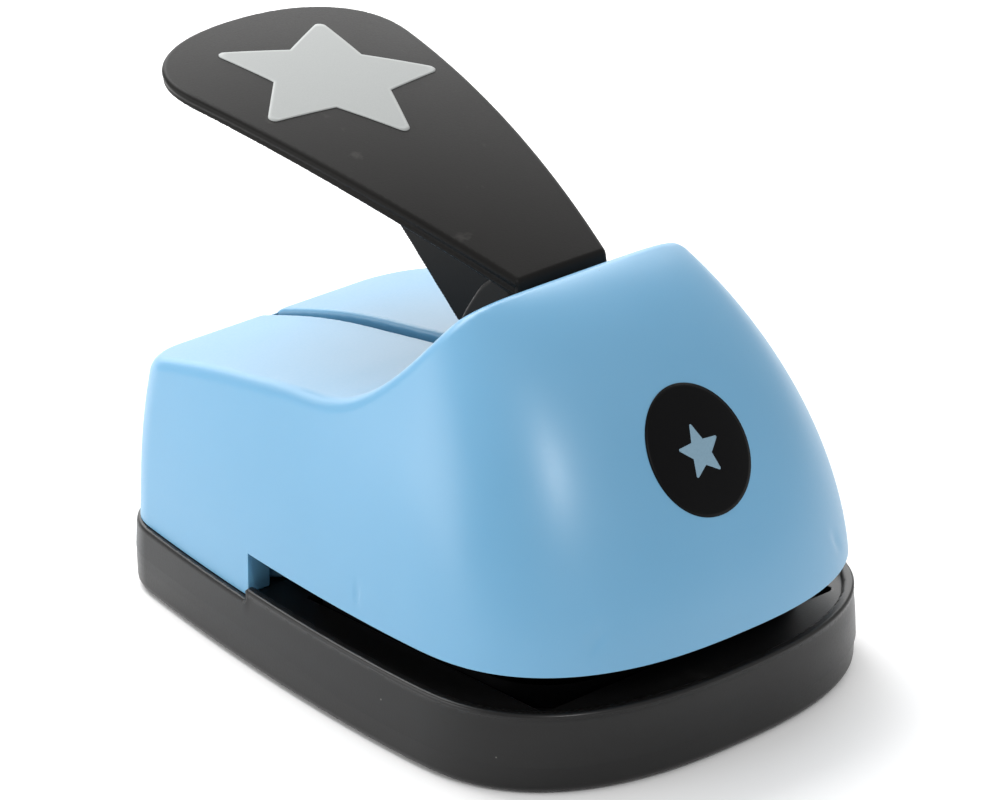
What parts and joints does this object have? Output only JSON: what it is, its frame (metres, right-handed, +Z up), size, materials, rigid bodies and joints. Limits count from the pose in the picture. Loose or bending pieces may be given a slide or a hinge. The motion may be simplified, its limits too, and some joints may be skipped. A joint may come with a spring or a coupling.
{
  "type": "craft punch",
  "caption": "Desk lever punch: rounded hood over a paper throat, wide press lever with a printed star, star punch and die inside, flat base.",
  "frame": {"origin": "on the resting plane and the centre plane, 14 mm behind the centre of the cut star", "axes": "+Z up, -Y to the front where paper goes in, +Y to the tail under the lever's free end"},
  "size_m": [0.0728, 0.1031, 0.0755],
  "materials": {
    "blue_shell": "satin moulded ABS",
    "black_base": "satin moulded ABS",
    "black_lever": "fine satin moulded ABS",
    "star_print": "pad printed ink",
    "badge_print": "pad printed ink",
    "tool_steel": "ground",
    "zinc_steel": "zinc plated",
    "spring_steel": "drawn wire",
    "carrier_nylon": "moulded nylon"
  },
  "bodies": {
    "base": {"base_tray": "black_base", "bottom_cover": "black_base", "housing_shell": "blue_shell", "front_badge": "badge_print", "housing_screws": "zinc_steel", "die_plate": "tool_steel", "slot_spacer": "tool_steel", "stripper_plate": "tool_steel", "die_rivets": "zinc_steel", "die_screws": "zinc_steel", "pivot_shaft": "zinc_steel", "shaft_clip_left": "spring_steel", "shaft_clip_right": "spring_steel", "pivot_cap_left": "blue_shell", "pivot_cap_right": "blue_shell", "cap_screws": "zinc_steel", "guide_post_front_left": "zinc_steel", "guide_post_front_right": "zinc_steel", "guide_post_rear_left": "zinc_steel", "guide_post_rear_right": "zinc_steel", "return_spring_front_left": "spring_steel", "return_spring_front_right": "spring_steel", "return_spring_rear_left": "spring_steel", "return_spring_rear_right": "spring_steel"},
    "lever": {"lever": "black_lever", "lever_star_print": "star_print"},
    "punch": {"punch_carrier": "carrier_nylon", "wear_plate": "tool_steel", "star_punch": "tool_steel", "punch_screws": "zinc_steel"}
  },
  "joints": [
    {"name": "lever_hinge", "type": "hinge", "parent": "base", "child": "lever", "pos_m": [0, -0.026, 0.04], "axis": [-1, 0, 0], "range_deg": [0, 26], "stiffness_Nm_per_rad": 0.34, "springref_deg": -25.78},
    {"name": "punch_slide", "type": "slide", "parent": "base", "child": "punch", "axis": [0, 0, -1], "range_m": [0, 0.0059], "deforming": ["return_spring_front_left", "return_spring_front_right", "return_spring_rear_left", "return_spring_rear_right"]}
  ],
  "couplings": [
    {"joint": "punch_slide", "follows": "lever_hinge", "m_per_rad": 0.012889}
  ]
}
